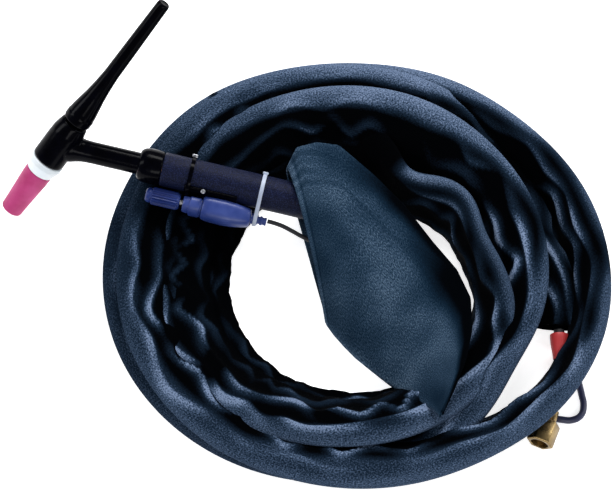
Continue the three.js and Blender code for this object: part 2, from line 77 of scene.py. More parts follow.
stage = {
    "target": (0.1247, -0.0817, 0.0),
    "elevation": 65,
    "lens": 300,
    "viewWidth": 0.570,
    "floorColour": (0.93, 0.93, 0.94, 1),
    "floorGlow": 0.75,
    "skyColour": (0.95, 0.97, 1, 1),
    "skyStrength": 0.20,
    # name: place, aim, size, watts, colour
    "lamps": {
        "keyLamp": ((0.35, 1.1, 1.3), (0.15, -0.05, 0), (1.2, 0.5), 24, (1, 1, 1)),
        "leftLamp": ((-1.2, 0.1, 0.9), (0.1, -0.1, 0), (0.4, 1.2), 9, (0.93, 0.96, 1)),
        "rightLamp": ((1.5, 0.0, 0.8), (0.1, -0.1, 0), (0.4, 1.2), 9, (0.93, 0.96, 1)),
        "frontLamp": ((0.3, -1.5, 1.0), (0.15, -0.1, 0), (1.2, 0.4), 9, (1, 1, 1)),
    },
}


def setStage():
    bpy.ops.mesh.primitive_plane_add(size=14, location=(0, 0, -0.0005))
    floor = bpy.context.object
    floor.name = "floor"
    paint = bpy.data.materials.new("floorPaint")
    paint.use_nodes = True
    shader = paint.node_tree.nodes["Principled BSDF"]
    shader.inputs["Base Color"].default_value = stage["floorColour"]
    shader.inputs["Roughness"].default_value = 0.9
    shader.inputs["Specular IOR Level"].default_value = 0.1
    shader.inputs["Emission Color"].default_value = (1, 1, 1, 1)
    shader.inputs["Emission Strength"].default_value = stage["floorGlow"]
    floor.data.materials.append(paint)

    world = bpy.data.worlds.new("studio")
    bpy.context.scene.world = world
    world.use_nodes = True
    sky = world.node_tree.nodes["Background"]
    sky.inputs["Color"].default_value = stage["skyColour"]
    sky.inputs["Strength"].default_value = stage["skyStrength"]


def addLamp(name, place, aim, size, power, colour):
    lamp = bpy.data.lights.new(name, "AREA")
    lamp.shape = "RECTANGLE"
    lamp.size, lamp.size_y = size
    lamp.energy = power
    lamp.color = colour
    rig = bpy.data.objects.new(name, lamp)
    bpy.context.collection.objects.link(rig)
    rig.location = place
    rig.rotation_euler = (Vector(aim) - Vector(place)).to_track_quat("-Z", "Y").to_euler()


def setCamera():
    lens = bpy.data.cameras.new("viewCamera")
    lens.lens = stage["lens"]
    lens.sensor_width = 36
    lens.clip_end = 50
    camera = bpy.data.objects.new("viewCamera", lens)
    bpy.context.collection.objects.link(camera)
    distance = stage["viewWidth"] * stage["lens"] / lens.sensor_width
    tilt = math.radians(stage["elevation"])
    back = Vector((0, -math.cos(tilt), math.sin(tilt)))
    camera.location = Vector(stage["target"]) + back * distance
    camera.rotation_euler = back.to_track_quat("Z", "Y").to_euler()
    bpy.context.scene.camera = camera
    bpy.context.scene.view_settings.view_transform = "Standard"


setStage()
for name, values in stage["lamps"].items():
    addLamp(name, *values)
setCamera()
print("stage ready")


def startMaterial(name, colour, roughness, metallic=0.0):
    # a material, its node tree and its shader, with the plain values set on the shader
    material = bpy.data.materials.new(name)
    material.use_nodes = True
    tree = material.node_tree
    shader = tree.nodes["Principled BSDF"]
    shader.inputs["Base Color"].default_value = (*colour, 1)
    shader.inputs["Roughness"].default_value = roughness
    shader.inputs["Metallic"].default_value = metallic
    return material, tree, shader


def addNode(tree, kind, values=None, **settings):
    node = tree.nodes.new(kind)
    for key, value in settings.items():
        setattr(node, key, value)
    for key, value in (values or {}).items():
        node.inputs[key].default_value = value
    return node


def noiseOn(tree, scale, detail=3.0, source="Object", stretch=(1, 1, 1)):
    # noise read on the piece's own coordinates
    where = addNode(tree, "ShaderNodeTexCoord")
    turn = addNode(tree, "ShaderNodeMapping", {"Scale": stretch})
    grain = addNode(tree, "ShaderNodeTexNoise", {"Scale": scale, "Detail": detail})
    tree.links.new(where.outputs[source], turn.inputs["Vector"])
    tree.links.new(turn.outputs["Vector"], grain.inputs["Vector"])
    return grain.outputs["Fac"]


def ramp(tree, source, stops):
    # stops are (position, colour) pairs
    node = addNode(tree, "ShaderNodeValToRGB")
    band = node.color_ramp
    while len(band.elements) < len(stops):
        band.elements.new(0.5)
    for element, (place, colour) in zip(band.elements, stops):
        element.position = place
        element.color = (*colour, 1)
    tree.links.new(source, node.inputs["Fac"])
    return node.outputs["Color"]


def spread(tree, source, low, high):
    node = addNode(tree, "ShaderNodeMapRange", {"To Min": low, "To Max": high})
    tree.links.new(source, node.inputs["Value"])
    return node.outputs["Result"]


def bump(tree, shader, height, strength, depth):
    node = addNode(tree, "ShaderNodeBump", {"Strength": strength, "Distance": depth})
    tree.links.new(height, node.inputs["Height"])
    tree.links.new(node.outputs["Normal"], shader.inputs["Normal"])
    return node


def mouldedPlastic(name, colour, wornColour, roughness, grain=700, coat=0.0, gloss=0.5):
    # moulded plastic with a fine skin, soft scuffs and slightly uneven gloss
    material, tree, shader = startMaterial(name, colour, roughness)
    blotch = noiseOn(tree, 55, 4)
    tree.links.new(ramp(tree, blotch, [(0.38, colour), (0.72, wornColour)]), shader.inputs["Base Color"])
    tree.links.new(spread(tree, noiseOn(tree, 160, 5), roughness - 0.08, roughness + 0.14),
                   shader.inputs["Roughness"])
    bump(tree, shader, noiseOn(tree, grain, 2), 0.12, 0.0003)
    shader.inputs["Specular IOR Level"].default_value = gloss
    shader.inputs["Coat Weight"].default_value = coat
    shader.inputs["Coat Roughness"].default_value = 0.08
    return material


def gripPlastic():
    # pebbled handle skin with lighter, rubbed tops
    material, tree, shader = startMaterial("gripPlastic", (0.010, 0.012, 0.022), 0.5)
    where = addNode(tree, "ShaderNodeTexCoord")
    cells = addNode(tree, "ShaderNodeTexVoronoi", {"Scale": 950.0})
    tree.links.new(where.outputs["Object"], cells.inputs["Vector"])
    skin = ramp(tree, cells.outputs["Distance"],
                [(0.1, (0.018, 0.027, 0.095)), (0.5, (0.003, 0.005, 0.020))])
    tree.links.new(skin, shader.inputs["Base Color"])
    tree.links.new(spread(tree, noiseOn(tree, 120, 4), 0.38, 0.62), shader.inputs["Roughness"])
    bump(tree, shader, cells.outputs["Distance"], 0.5, 0.0005)
    shader.inputs["Specular IOR Level"].default_value = 0.12
    return material


def aluminaCeramic():
    # fired ceramic: fine grain, cloudy pink, a touch of soot
    material, tree, shader = startMaterial("aluminaCeramic", (0.50, 0.06, 0.20), 0.5)
    cloud = ramp(tree, noiseOn(tree, 60, 4), [(0.3, (0.43, 0.024, 0.135)), (0.65, (0.56, 0.058, 0.225))])
    tree.links.new(cloud, shader.inputs["Base Color"])
    tree.links.new(spread(tree, noiseOn(tree, 300, 5), 0.4, 0.6), shader.inputs["Roughness"])
    bump(tree, shader, noiseOn(tree, 1600, 3), 0.2, 0.0003)
    shader.inputs["Specular IOR Level"].default_value = 0.3
    shader.inputs["Subsurface Weight"].default_value = 0.08
    shader.inputs["Subsurface Radius"].default_value = (0.002, 0.001, 0.001)
    return material


def machinedMetal(name, colour, dullColour, roughness, lines=(1, 1, 60)):
    # turned metal with fine tool lines and patches of tarnish
    material, tree, shader = startMaterial(name, colour, roughness, 1.0)
    patch = ramp(tree, noiseOn(tree, 90, 5), [(0.35, colour), (0.75, dullColour)])
    tree.links.new(patch, shader.inputs["Base Color"])
    tree.links.new(spread(tree, noiseOn(tree, 200, 5), roughness - 0.08, roughness + 0.18),
                   shader.inputs["Roughness"])
    bump(tree, shader, noiseOn(tree, 60, 2, stretch=lines), 0.15, 0.0002)
    return material


def wovenCloth(name, colours, pitch):
    # plain weave on the cloth's own map, in metres, with slubs, painted light and shade on the folds from a
    # mesh attribute, and a soft sheen
    material, tree, shader = startMaterial(name, colours[0], 0.9)
    where = addNode(tree, "ShaderNodeTexCoord")
    waves = []
    for direction in ("X", "Y"):
        wave = addNode(tree, "ShaderNodeTexWave", {"Scale": math.pi / (10 * pitch), "Distortion": 1.2,
                                                   "Detail": 2.0, "Detail Scale": 2.0},
                       wave_type="BANDS", bands_direction=direction)
        tree.links.new(where.outputs["UV"], wave.inputs["Vector"])
        waves.append(wave.outputs["Fac"])
    threads = addNode(tree, "ShaderNodeMath", operation="MULTIPLY")
    tree.links.new(waves[0], threads.inputs[0])
    tree.links.new(waves[1], threads.inputs[1])
    speckle = noiseOn(tree, 840, 2, "UV")
    patch = noiseOn(tree, 26, 4, "UV")
    # painted light and shade of the sleeve and mouth, stored on each vertex: lit rims and fold crests high,
    # shaded hollows low
    paintedLight = addNode(tree, "ShaderNodeAttribute", attribute_name="paintedShading").outputs["Fac"]
    breakUp = addNode(tree, "ShaderNodeMath", operation="MULTIPLY")
    tree.links.new(paintedLight, breakUp.inputs[0])
    tree.links.new(spread(tree, patch, 0.8, 1.2), breakUp.inputs[1])
    level = addNode(tree, "ShaderNodeMath", operation="MULTIPLY")
    tree.links.new(breakUp.outputs["Value"], level.inputs[0])
    tree.links.new(spread(tree, speckle, -0.1, 2.1), level.inputs[1])
    # the colours run from painted shadow in the hollows, through the cloth's own navy, to painted highlight
    # on lit rims and crests
    stops = list(zip((0.05, 0.42, 0.70, 1.0), colours))
    tree.links.new(ramp(tree, level.outputs["Value"], stops), shader.inputs["Base Color"])
    height = addNode(tree, "ShaderNodeMath", operation="ADD")
    tree.links.new(threads.outputs["Value"], height.inputs[0])
    tree.links.new(speckle, height.inputs[1])
    bump(tree, shader, height.outputs["Value"], 0.55, 0.0006)
    shader.inputs["Specular IOR Level"].default_value = 0.015
    shader.inputs["Sheen Weight"].default_value = 0.006
    shader.inputs["Sheen Roughness"].default_value = 0.4
    shader.inputs["Sheen Tint"].default_value = (0.40, 0.52, 0.78, 1)
    return material


finishes = {
    "blackMoulding": mouldedPlastic("blackMoulding", (0.0003, 0.0003, 0.0012), (0.0010, 0.0011, 0.0035),
                                    0.19, coat=0.035, gloss=0.03),
    "grip": gripPlastic(),
    "bluePlastic": mouldedPlastic("bluePlastic", (0.020, 0.042, 0.200), (0.050, 0.080, 0.29), 0.33,
                                  gloss=0.35),
    "rollerBlue": mouldedPlastic("rollerBlue", (0.006, 0.018, 0.120), (0.016, 0.038, 0.19), 0.38,
                                 gloss=0.3),
    "ptfe": mouldedPlastic("ptfe", (0.80, 0.88, 0.93), (0.86, 0.90, 0.92), 0.4),
    "alumina": aluminaCeramic(),
    "brass": machinedMetal("brass", (0.33, 0.23, 0.10), (0.09, 0.06, 0.03), 0.24),
    "copper": machinedMetal("copper", (0.60, 0.27, 0.16), (0.38, 0.17, 0.10), 0.32),
    "steel": machinedMetal("steel", (0.55, 0.56, 0.60), (0.38, 0.38, 0.42), 0.3),
    "blackRubber": mouldedPlastic("blackRubber", (0.010, 0.010, 0.013), (0.02, 0.02, 0.026), 0.55, 500),
    "navyRubber": mouldedPlastic("navyRubber", (0.014, 0.017, 0.055), (0.03, 0.035, 0.09), 0.42, 500),
    "redRubber": mouldedPlastic("redRubber", (0.50, 0.030, 0.035), (0.58, 0.07, 0.07), 0.42, 500),
    "whiteStrap": mouldedPlastic("whiteStrap", (0.42, 0.48, 0.62), (0.58, 0.63, 0.74), 0.35),
    # cloth colour ramps, read by painted light: near-black painted shadow, the navy cloth, then blue-grey
    # painted highlight
    "cloth": wovenCloth("coverCloth", [(0.0002, 0.0004, 0.0008), (0.009, 0.019, 0.036),
                                       (0.060, 0.095, 0.160), (0.19, 0.255, 0.39)], 0.0011),
    "mouthCloth": wovenCloth("mouthCloth", [(0.0003, 0.0008, 0.0016), (0.0065, 0.019, 0.038),
                                            (0.030, 0.060, 0.102), (0.12, 0.18, 0.26)], 0.0011),
    "thread": mouldedPlastic("thread", (0.10, 0.14, 0.20), (0.22, 0.27, 0.34), 0.7, 2500, gloss=0.2),
}
print("materials ready")


def addPiece(name, bm, finish, body, nodes=(), sharp=38, place=None):
    # makes a finished piece of the mesh, puts it in its place and hangs it on its body
    if place is not None:
        bmesh.ops.transform(bm, matrix=place, verts=bm.verts)
    mesh = bpy.data.meshes.new(name)
    bm.to_mesh(mesh)
    bm.free()
    mesh.shade_smooth()
    mesh.set_sharp_from_angle(angle=math.radians(sharp))
    mesh.materials.append(finishes[finish])
    piece = bpy.data.objects.new(name, mesh)
    bpy.context.collection.objects.link(piece)
    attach(piece, body)
    if nodes:
        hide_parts(*nodes)
    return piece


def settle(piece):
    # applies every modifier, so that the mesh holds the finished shape
    bpy.context.view_layer.objects.active = piece
    for other in bpy.context.selected_objects:
        other.select_set(False)
    piece.select_set(True)
    for modifier in list(piece.modifiers):
        bpy.ops.object.modifier_apply(modifier=modifier.name)


def turnedMesh(profile, steps=64):
    # (radius, height) pairs in millimetres, spun round Z; a profile off the axis closes on itself
    bm = bmesh.new()
    verts = [bm.verts.new((r * mm, 0, z * mm)) for r, z in profile]
    edges = [bm.edges.new(pair) for pair in zip(verts, verts[1:])]
    if profile[0][0] > 0:
        edges.append(bm.edges.new((verts[-1], verts[0])))
    bmesh.ops.spin(bm, geom=verts + edges, cent=(0, 0, 0), axis=(0, 0, 1), angle=2 * math.pi,
                   steps=steps, use_merge=True, use_duplicate=False)
    bmesh.ops.remove_doubles(bm, verts=bm.verts, dist=1e-6)
    bmesh.ops.recalc_face_normals(bm, faces=bm.faces)
    return bm


def eased(profile, corner=0.5, rounds=3):
    # rounds the profile's corners with short arcs
    result = []
    last = len(profile) - 1
    for i, here in enumerate(profile):
        before, after = Vector(profile[i - 1]), Vector(profile[(i + 1) % len(profile)])
        here = Vector(here)
        onAxis = here.x == 0 or (profile[0][0] == 0 and i in (0, last))
        into, out = before - here, after - here
        if onAxis or into.length < 1e-6 or out.length < 1e-6:
            result.append(tuple(here))
            continue
        reach = min(corner, 0.4 * into.length, 0.4 * out.length)
        start, end = here + into.normalized() * reach, here + out.normalized() * reach
        for k in range(rounds + 1):
            t = k / rounds
            point = start * (1 - t) ** 2 + here * (2 * t * (1 - t)) + end * t ** 2
            result.append(tuple(point))
    return result


def refined(node, name, finish, body, width, flatten=1):
    # a softened copy of a CAD piece: merged, flat faces rejoined, edges rounded
    bm = bmesh.new()
    bm.from_mesh(frame["nodes"][node].data)
    if flatten < 1:
        low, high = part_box(node)
        middle = (low + high) / 2
        foot = headCentre + handleAxis * (middle - headCentre).dot(handleAxis)
        lean = basis(foot + (middle - foot) * 0.8, handleAxis, middle - foot)
        bmesh.ops.scale(bm, vec=(0.85, 0.85, flatten), space=lean.inverted(), verts=bm.verts)
    bmesh.ops.remove_doubles(bm, verts=bm.verts, dist=2e-6)
    bmesh.ops.dissolve_limit(bm, angle_limit=math.radians(2), verts=bm.verts, edges=bm.edges)
    edges = [e for e in bm.edges if len(e.link_faces) == 2 and e.calc_face_angle(0) > math.radians(40)]
    bmesh.ops.bevel(bm, geom=edges, offset=width * mm, offset_type="OFFSET", affect="EDGES",
                    segments=2, profile=0.5, material=-1, clamp_overlap=True)
    return addPiece(name, bm, finish, body, (node,), 35)


cords = {
    "controlCable": [
        (88.6, -73.6, 38.9), (95, -75.2, 38.2), (103, -78, 37.2), (112, -82.6, 36), (122, -88, 34.6),
        (133, -92.8, 33.2), (146, -97, 32),
    ],
    "hose": [
        (356.5, -176, 21), (356.8, -186, 20), (357, -196, 18.6), (356.8, -206, 17.2), (356, -217, 15.8),
        (354.6, -228, 14.8), (352.6, -240, 14.2), (349.6, -251, 14),
    ],
    "lead": [
        (369, -177, 12), (370, -186, 8.6), (371, -197, 5.4), (372.6, -209, 4), (374.6, -221, 3.6),
        (377, -233, 3.6), (378.4, -244, 3.6), (375.6, -253.4, 3.6), (367.6, -258, 3.6),
        (357, -257.4, 3.6), (346, -255.6, 3.6), (336, -257.6, 4.2), (327, -261.6, 7), (320, -265, 8.6),
    ],
}


def cordCurve(name, route, radius, finish, node):
    shape = bpy.data.curves.new(name, "CURVE")
    shape.dimensions = "3D"
    spline = shape.splines.new("BEZIER")
    spline.bezier_points.add(len(route) - 1)
    for knot, place in zip(spline.bezier_points, route):
        knot.co = Vector(place) * mm
        knot.handle_left_type = knot.handle_right_type = "AUTO"
    spline.resolution_u = 8
    shape.bevel_depth = radius * mm
    shape.bevel_resolution = 6
    shape.use_fill_caps = True
    shape.materials.append(finishes[finish])
    piece = bpy.data.objects.new(name, shape)
    bpy.context.collection.objects.link(piece)
    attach(piece, "torch")
    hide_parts(node)
    return piece


hoseTail = cordCurve("hoseTail", cords["hose"], 5, "blackRubber", "hose_tail")
leadTail = cordCurve("leadTail", cords["lead"], 3.2, "navyRubber", "control_lead")
controlCable = cordCurve("controlCable", cords["controlCable"], 2, "blackRubber",
                         "control_cable")


cover = {
    "centre": (171, -120),
    "startTurn": 61,            # degrees clockwise from +X
    "endTurn": 1456,
    "halfWidth": 31,
    "ringStep": 4.0,
    "around": 92,
    "upperShare": 0.66,         # share of the mesh's columns on the upper side
    "foldHeight": 5.5,
    # one value for each quarter turn, from the bottom of the first turn on
    "reach": [142, 148, 138, 130, 150, 166, 156, 150, 174, 204, 189, 212, 192, 191, 180, 188, 190],
    "level": [11, 8, 13, 18, 28, 20, 30, 36, 14, 8, 14, 30, 30, 27, 26, 12, 12],
    "tilt": [10, 6, 14, 20, 22, 8, 26, 32, 10, 6, 14, 58, 24, 8, 22, 8, 6],
    "depth": [9, 6.5, 10, 11, 10, 6.5, 11, 12, 9, 6.5, 10, 11, 11, 6.5, 9, 8, 9],
    # local shifts: turn, how wide in degrees, then reach, level, tilt and half width
    "shifts": [(298, 24, -38, 8, 54, 0), (345, 26, -20, 8, 48, 0), (372, 18, 2, 4, 22, 0),
               (662, 30, -10, 0, 0, 9), (756, 18, -9, 0, 0, 0), (1106, 26, 8, 0, 0, 0),
               (1428, 15, -26, 0, 0, 0)],
    "seamTurn": 954,
    # crests of the folds: place across, swing, pitch, seed, height and how much the smooth side lowers it
    "crests": [(0.50, 0.16, 62, 3, 1.0, 0.75), (-0.14, 0.26, 54, 7, 1.0, 0), (-0.72, 0.15, 41, 11, 0.4, 0)],
    "unlitRimTurns": (200, 230, 286, 302),      # the painted rim light fades out and back in between these
    "shadedTurns": (215, 235, 284, 298),      # and all of the cloth is painted in shade here
    # how soft and how strong the painted rim light is
    "rimLightSoftness": 0.36,
    "rimLightStrength": 0.49,
}


def between(values, turn):
    # smooth value at a turn angle, through one value for each quarter
    t = (turn - 90) / 90
    i = math.floor(t)
    f = t - i
    p0, p1, p2, p3 = (values[min(max(i + k, 0), len(values) - 1)] for k in (-1, 0, 1, 2))
    return 0.5 * (2 * p1 + (p2 - p0) * f + (2 * p0 - 5 * p1 + 4 * p2 - p3) * f ** 2
                  + (3 * p1 - p0 - 3 * p2 + p3) * f ** 3)


def hump(turn, middle, width):
    # a bell once in every full turn
    away = (turn - middle + 180) % 360 - 180
    return math.exp(-(away / width) ** 2)


def shifted(turn, kind):
    # sum of the local shifts at a turn angle; kind 2 is reach, 3 level, 4 tilt and 5 half width
    return sum(shift[kind] * math.exp(-((turn - shift[0]) / shift[1]) ** 2) for shift in cover["shifts"])


def coverCentre(turn):
    reach = between(cover["reach"], turn)
    reach += (8 * hump(turn, 232, 26) - 11 * hump(turn, 318, 30)) * min(1, max(0, (reach - 140) / 40))
    reach += shifted(turn, 2)
    level = between(cover["level"], turn) + shifted(turn, 3)
    angle = math.radians(turn)
    return Vector((cover["centre"][0] + reach * math.cos(angle),
                   cover["centre"][1] - reach * math.sin(angle), level))


def coverStations():
    # evenly spaced points along the wound sleeve, each with its turn angle
    fine, turn = [], cover["startTurn"]
    while turn <= cover["endTurn"]:
        fine.append((turn, coverCentre(turn)))
        turn += 0.5
    stations, carried = [fine[0]], 0.0
    for (_, a), (turnB, b) in zip(fine, fine[1:]):
        carried += (b - a).length
        if carried >= cover["ringStep"]:
            stations.append((turnB, b))
            carried = 0.0
    return stations


def ridged(x, y, z):
    # folded noise: sharp crests, wide hollows
    return 1 - 2.4 * abs(noise.noise(Vector((x, y, z))))


def zigzag(length, pitch, seed):
    # a wandering triangle wave from -1 to 1
    phase = length / pitch + 1.5 * noise.noise(Vector((length / (2.3 * pitch), seed, 0)))
    straight = 4 * abs(phase - math.floor(phase) - 0.5) - 1
    return (0.45 * straight + 0.55 * math.cos(2 * math.pi * phase)) * (
        0.8 + 0.9 * noise.noise(Vector((length / (1.7 * pitch), seed, 9))))


def smoothStep(low, high, value):
    t = min(1, max(0, (value - low) / (high - low)))
    return t * t * (3 - 2 * t)


def inSpan(span, turn):
    # 1 between the middle two of four turn angles, 0 outside the outer two
    return smoothStep(span[0], span[1], turn) * (1 - smoothStep(span[2], span[3], turn))


def foldShape(turn, length, x):
    # height of the loose folds on the upper side at x across, and the painted light on the cloth there
    loose = (1 - 0.85 * hump(turn, 285, 50)) * (1 - 0.9 * hump(turn, 207, 26))
    loose *= 0.85 + 0.6 * noise.noise(Vector((length / 90, 51, 0)))
    smoothSide = hump(turn, 95, 55) * smoothStep(560, 760, turn)
    crests = []
    for middle, swing, pitch, seed, height, lowered in cover["crests"]:
        height *= 1 - lowered * smoothSide
        drift = 0.20 * noise.noise(Vector((length / 60, seed, 4)))
        crest = middle + swing * zigzag(length, pitch, seed) + drift - 0.12 * smoothSide
        away = x - crest
        rise = math.exp(-abs(away) / (0.32 if away > 0 else 0.16)) * height
        line = math.exp(-(away / (0.19 if away > 0 else 0.055)) ** 2) * height
        crests.append((rise, line))
    rise = max(c[0] for c in crests)
    line = max(c[1] for c in crests)
    broken = 0.62 + 1.5 * noise.noise(Vector((length / 38, x * 1.6, 17)))
    start = 0.32 - 0.42 * smoothSide + 0.12 * noise.noise(Vector((length / 40, 5, 0)))
    start += 0.3 * smoothStep(280, 300, turn) * smoothStep(410, 380, turn)
    start += 0.45 * hump(turn, 345, 50) * smoothStep(640, 700, turn)
    start += 0.10 * zigzag(length, 58, 31) * loose
    # a band of painted rim light along the outer edge, fading out in the unlit turns
    band = smoothStep(start, start + cover["rimLightSoftness"], x)
    band *= 1 - 0.95 * inSpan(cover["unlitRimTurns"], turn)
    # painted rim light is stronger at the top of the coil, weaker at its right and left, and brighter
    # nearer the edge
    strength = cover["rimLightStrength"] + 0.21 * hump(turn, 280, 50)
    strength -= 0.05 * hump(turn, 0, 45) + 0.17 * hump(turn, 190, 45)
    strength *= 0.85 + 0.35 * smoothStep(0.6, 1, x)
    # painted light: the lit rim, painted highlights along the fold crests and a little on their flanks
    paintedLight = 0.02 + strength * band + max(0, line * broken) * loose * 0.95
    paintedLight += 0.12 * loose * rise * broken
    # painted shade over the turns that lie in the dark
    paintedLight *= 1 - 0.85 * inSpan(cover["shadedTurns"], turn)
    return (rise - 0.45) * loose, min(1, max(0, paintedLight))


def sleevePoint(station, onward, angle, length, squeeze):
    # a point of the sleeve's skin at an angle round its flattened section, and the painted light there; 0
    # is the outer edge
    turn, centre = station
    outward = Vector((math.cos(math.radians(turn)), -math.sin(math.radians(turn)), 0))
    along = onward.normalized()
    outward = (outward - along * outward.dot(along)).normalized()
    up = along.cross(outward) * -1
    if up.z < 0:
        up = -up
    tilt = math.radians(between(cover["tilt"], turn) + shifted(turn, 4))
    wide = outward * math.cos(tilt) + up * math.sin(tilt)
    thick = up * math.cos(tilt) - outward * math.sin(tilt)
    x, y = math.cos(angle), math.sin(angle)
    inner = min(1, max(0, (0.45 - x) / 1.1))
    depth = between(cover["depth"], turn) * (0.86 + 0.22 * x)
    fold, paintedLight = foldShape(turn, length, x)
    # pleats across the inner side, long soft waves, and a puckered inner edge
    gather = ridged(length / 27, x * 0.7, 3 + 0.8 * y) * inner ** 1.2
    wave = noise.noise(Vector((length / 75, x * 1.3, y * 1.2)))
    edge = noise.noise(Vector((length / 17, 21, 0))) + 0.6 * noise.noise(Vector((length / 7.5, 33, 0)))
    lie = math.copysign(abs(y) ** 1.15, y) * depth
    lie += y * 1.6 * gather * min(1, depth / 9) + 2.0 * wave
    if y > 0:
        lie += min(1, 1.6 * y) * fold * cover["foldHeight"]
    else:
        # the lower side gets little painted light, more only towards the outer edge
        paintedLight = min(paintedLight, 0.12 + 0.5 * smoothStep(0.5, 1, x))
    seam = math.exp(-((turn - cover["seamTurn"]) / 0.7) ** 2)
    paintedLight -= 0.5 * seam
    lie -= math.copysign(0.8 * seam, y)
    halfWidth = cover["halfWidth"] + shifted(turn, 5)
    across = x * halfWidth * (1 + 0.02 * wave) - 2.6 * edge * inner ** 2
    point = centre + (wide * across + thick * lie) * squeeze
    point.z = max(point.z, 0.6)
    return point * mm, paintedLight


def roundSection(v):
    # angle round the section for v from 0 to 1; the upper side has the finer share of the mesh
    share = cover["upperShare"]
    return math.pi * v / share if v < share else math.pi * (1 + (v - share) / (1 - share))


def makeCover():
    stations = coverStations()
    count = len(stations) - 1
    total = count * cover["ringStep"]
    # beyond the last ring the cloth turns in, so that the sleeve's end is open
    ending = [(0, 1.0), (-0.4, 0.93), (-3, 0.90), (-4, 0.4), (-4, 0.02)]
    rings = count + len(ending)
    bm = bmesh.new()
    bmesh.ops.create_grid(bm, x_segments=rings, y_segments=cover["around"], size=1, calc_uvs=True)
    layer = bm.loops.layers.uv.verify()
    paintedShading = bm.verts.layers.float.new("paintedShading")
    across = 2 * cover["halfWidth"] * 2.1
    for face in bm.faces:
        for loop in face.loops:
            u, v = (loop.vert.co.x + 1) / 2, roundSection((loop.vert.co.y + 1) / 2) / (2 * math.pi)
            loop[layer].uv = (u * total * mm, v * across * mm)
    for vert in bm.verts:
        ring = round((vert.co.x + 1) / 2 * rings)
        angle = roundSection((vert.co.y + 1) / 2)
        squeeze = 1.0
        index = ring
        if ring > count:
            back, squeeze = ending[ring - count - 1]
            index = count + round(back)
        if ring < 3:
            squeeze = (0.02, 0.7, 0.95)[ring]
        onward = stations[min(index + 1, count)][1] - stations[max(index - 1, 0)][1]
        length = index * cover["ringStep"]
        vert.co, vert[paintedShading] = sleevePoint(stations[index], onward, angle, length, squeeze)
    bmesh.ops.remove_doubles(bm, verts=bm.verts, dist=1e-6)
    bmesh.ops.recalc_face_normals(bm, faces=bm.faces)
    piece = addPiece("cableCover", bm, "cloth", "torch", ("cover_coil",), 180)
    path = [place * mm for _, place in stations]
    length = sum((b - a).length for a, b in zip(path, path[1:]))
    print(f"cover is {length:.2f} m long in {count} rings")


makeCover()
print("cords ready")


mouth = {
    # pairs of side points in plan with their heights: the upper side, then the lower side
    "stations": [
        ((107, -24, 45), (143, -166, 13)), ((116, -5, 50), (150, -176, 12)),
        ((134, 0, 51), (159, -187, 12)), ((154, -2, 50), (170, -199, 12)),
        ((186, -30, 46), (186, -213, 12)), ((214, -59, 42), (201, -226, 12)),
        ((240, -95, 39), (215, -239, 19)), ((262, -124, 40), (226, -250, 29)),
        ((274, -153, 42), (234, -259, 40)), ((275, -185, 44), (240, -265, 46)),
        ((269, -216, 46), (243, -269, 48)), ((258, -246, 48), (245, -272, 49)),
        ((248, -269, 49), (246, -275, 49)),
    ],
    "crown": [69, 70, 69, 65, 58, 53, 50, 50, 51, 52, 52, 52],
    "belly": [24, 22, 20, 16, 12, 13, 20, 31, 39, 44, 46, 47],
    "around": 200,
    "rows": 110,
    "clothThickness": 1.4,
    "flat": (0.29, 0.27),       # metres, across and along
    "hem": 0.030,               # share of the length that is turned in
    "stitches": 54,
    "stitched": (0.06, 0.47),   # where the row of stitches starts and ends, round the mouth
    "stitchSize": (1.25, 0.6, 0.45),
}


def mixed(values, t):
    # straight run through a list, t from 0 to 1
    place = t * (len(values) - 1)
    i = min(int(place), len(values) - 2)
    f = place - i
    a, b = values[i], values[i + 1]
    if isinstance(a, tuple):
        return Vector(a).lerp(Vector(b), f)
    return a + (b - a) * f


def mouthPoint(along, wound):
    # along runs from the open mouth to the coil; wound goes over the top and back underneath
    upperSide = mixed([pair[0] for pair in mouth["stations"]], along)
    lowerSide = mixed([pair[1] for pair in mouth["stations"]], along)
    top = wound < 0.5
    v = wound * 2 if top else 2 - wound * 2
    base = upperSide.lerp(lowerSide, v)
    lift = math.sin(math.pi * min(1, max(0, v)) ** 0.72) ** 0.62
    if top:
        height = base.z + (mixed(mouth["crown"], along) - base.z) * lift * (1 - 0.45 * v)
    else:
        height = base.z + (mixed(mouth["belly"], along) - base.z) * lift
    wave = noise.noise(Vector((base.x / 60, base.y / 60, 4 if top else 9)))
    fine = noise.noise(Vector((base.x / 23, base.y / 23, 2)))
    height += 1.8 * wave * lift + 0.7 * fine * lift
    # short pleats where the cloth is pulled over the handle, and one faint crease below them
    pull = math.exp(-(along / 0.16) ** 2) * math.exp(-((v - 0.10) / 0.16) ** 2) * lift
    pleat = ridged(along * 2 + v * 1.2, v * 17 - along * 5, 6)
    creaseLine = v - 0.24 - 0.05 * along + 0.02 * fine
    crease = math.exp(-(creaseLine / 0.014) ** 2) * smoothStep(0.75, 0.2, along)
    height += 2.0 * pull * pleat - 0.3 * crease * lift
    # turned hem, doubled beside the open edge
    hem = smoothStep(mouth["hem"] + 0.012, mouth["hem"], along)
    height += (0.8 if top else -0.8) * hem * lift
    # painted light: lighter along the side edges, on the pleat crests, on the hem and over the middle of
    # the sheet
    side = math.exp(-min(v, 1 - v) / 0.03)
    paintedLight = 0.50 + 0.22 * wave + 0.12 * fine + 0.22 * side + 0.35 * max(0, pull * pleat) + 0.12 * hem
    paintedLight += 0.16 * math.exp(-((v - 0.45) / 0.3) ** 2) * math.exp(-((along - 0.4) / 0.3) ** 2)
    # painted shade near the upper side, wider further along towards the coil, and along that side's edge
    shaded = max(smoothStep(0.40, 0.16, v) * smoothStep(0.34, 0.58, along), smoothStep(0.2, 0.04, v))
    paintedLight *= 1 - 0.93 * shaded * smoothStep(0.22, 0.40, along)
    # painted shade in the crease and in a thin line just past the hem
    paintedLight -= 0.10 * crease
    paintedLight -= 0.18 * math.exp(-((along - mouth["hem"] - 0.012) / 0.008) ** 2)
    return Vector((base.x, base.y, max(height, 1.2))) * mm, min(1, max(0, paintedLight))


